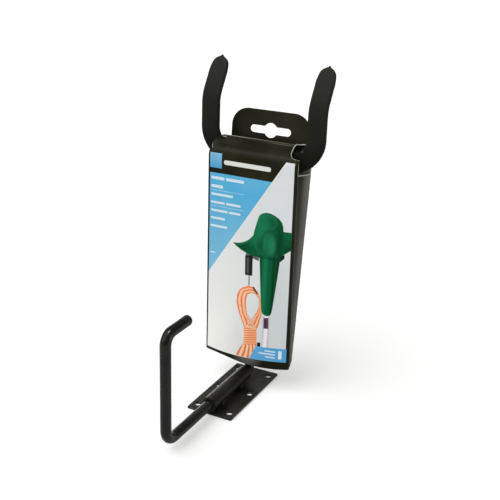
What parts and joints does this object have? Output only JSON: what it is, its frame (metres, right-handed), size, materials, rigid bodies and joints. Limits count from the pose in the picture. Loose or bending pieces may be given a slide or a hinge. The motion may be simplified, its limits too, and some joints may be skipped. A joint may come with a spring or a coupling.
{
  "type": "swivel two-tine wall hanger",
  "caption": "Wall plate with a welded pivot barrel, a bent rod that is cord hook, pivot and stem, and a two-tine fork with dipped grips, wrapped in a card hang-tab sleeve.",
  "frame": {"origin": "centre of the wall plate's back face, midway between its ends and sides", "axes": "+Z away from the wall, along the stem and tines; +Y up on the wall, from the cord hook's side of the plate towards the fork's; +X to the right seen from the front of the card (looking along +Y); X = 0 is the middle plane"},
  "size_m": [0.1034, 0.1587, 0.254],
  "materials": {
    "black_paint": "satin black powder coat",
    "black_vinyl": "matt dip-moulded vinyl",
    "printed_card": "gloss black printed board",
    "zinc_steel": "bright zinc plate",
    "clear_film": "clear pouch film"
  },
  "bodies": {
    "wall_mount": {"wall_plate": "black_paint", "pivot_barrel": "black_paint", "barrel_weld_left_lower": "black_paint", "barrel_weld_left_upper": "black_paint", "barrel_weld_right_lower": "black_paint", "barrel_weld_right_upper": "black_paint"},
    "swivel_arm": {"swivel_rod": "black_paint", "fork_bar": "black_paint", "stem_weld_left": "black_paint", "stem_weld_right": "black_paint", "grip_left": "black_vinyl", "grip_right": "black_vinyl", "card_sleeve": "printed_card", "screw_pouch": "clear_film", "mounting_screw_1": "zinc_steel", "mounting_screw_2": "zinc_steel", "mounting_screw_3": "zinc_steel", "mounting_screw_4": "zinc_steel", "mounting_screw_5": "zinc_steel", "mounting_screw_6": "zinc_steel"}
  },
  "joints": [
    {"name": "arm_swivel", "type": "hinge", "parent": "wall_mount", "child": "swivel_arm", "pos_m": [0, 0, 0.0085], "axis": [0, 1, 0], "range_deg": [-50, 50]}
  ]
}
